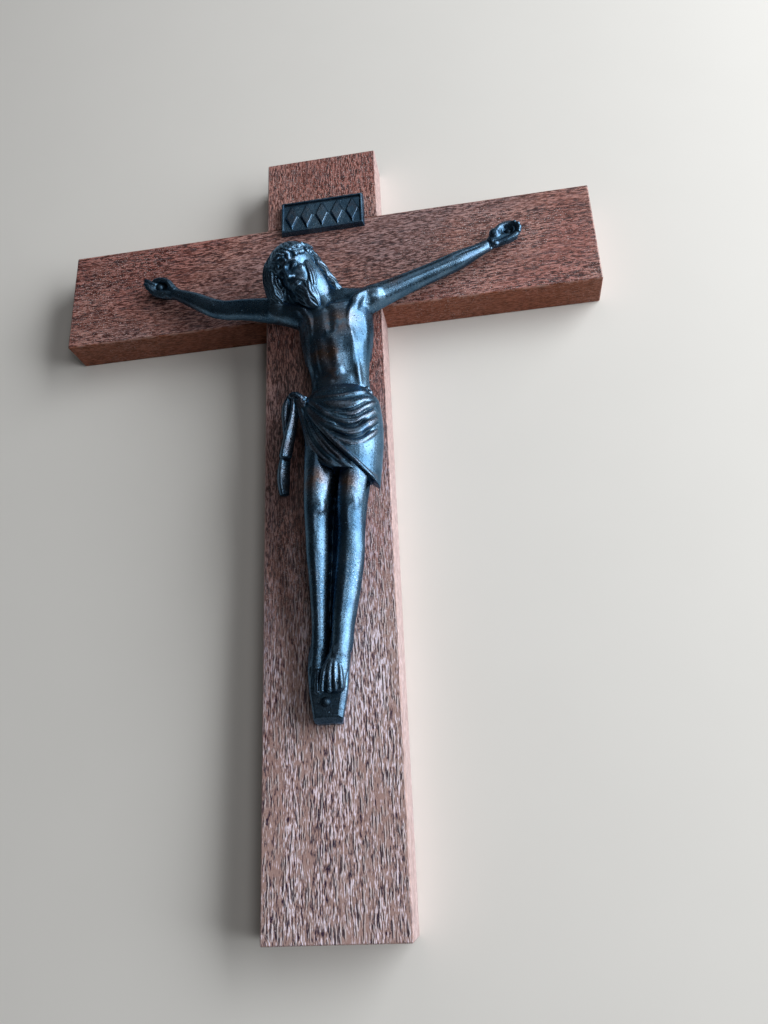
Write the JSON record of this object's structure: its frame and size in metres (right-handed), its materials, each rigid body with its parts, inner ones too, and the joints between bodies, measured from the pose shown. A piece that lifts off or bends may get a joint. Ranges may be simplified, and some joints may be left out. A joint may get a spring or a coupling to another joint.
{
  "type": "crucifix",
  "caption": "Wooden wall crucifix: half-lapped beams carrying a nailed cast metal figure on a foot rest and a small raised plate, with a keyhole hanger behind.",
  "frame": {"origin": "where the centre lines of the two beams cross, on the back face", "axes": "+X to the viewer's right along the cross beam, +Y along the upright towards the head end, +Z out of the front face; the crucifix lies on its back"},
  "size_m": [0.219, 0.305, 0.0444],
  "materials": {
    "mahogany": "open-pored reddish brown wood with a thin satin polish",
    "bronze": "cast metal with a near-black bronze patina, rubbed brown on its high points",
    "nail_bronze": "dark bronzed nail, worn brown on its head",
    "hanger_brass": "dull brushed brass",
    "screw_brass": "dull brass screw heads"
  },
  "bodies": {
    "root": {"upright_beam": "mahogany", "cross_beam": "mahogany", "corpus": "bronze", "title_plaque": "bronze", "left_hand_nail": "nail_bronze", "right_hand_nail": "nail_bronze", "foot_nail": "nail_bronze", "hanger_plate": "hanger_brass", "hanger_screws": "screw_brass"}
  },
  "joints": []
}
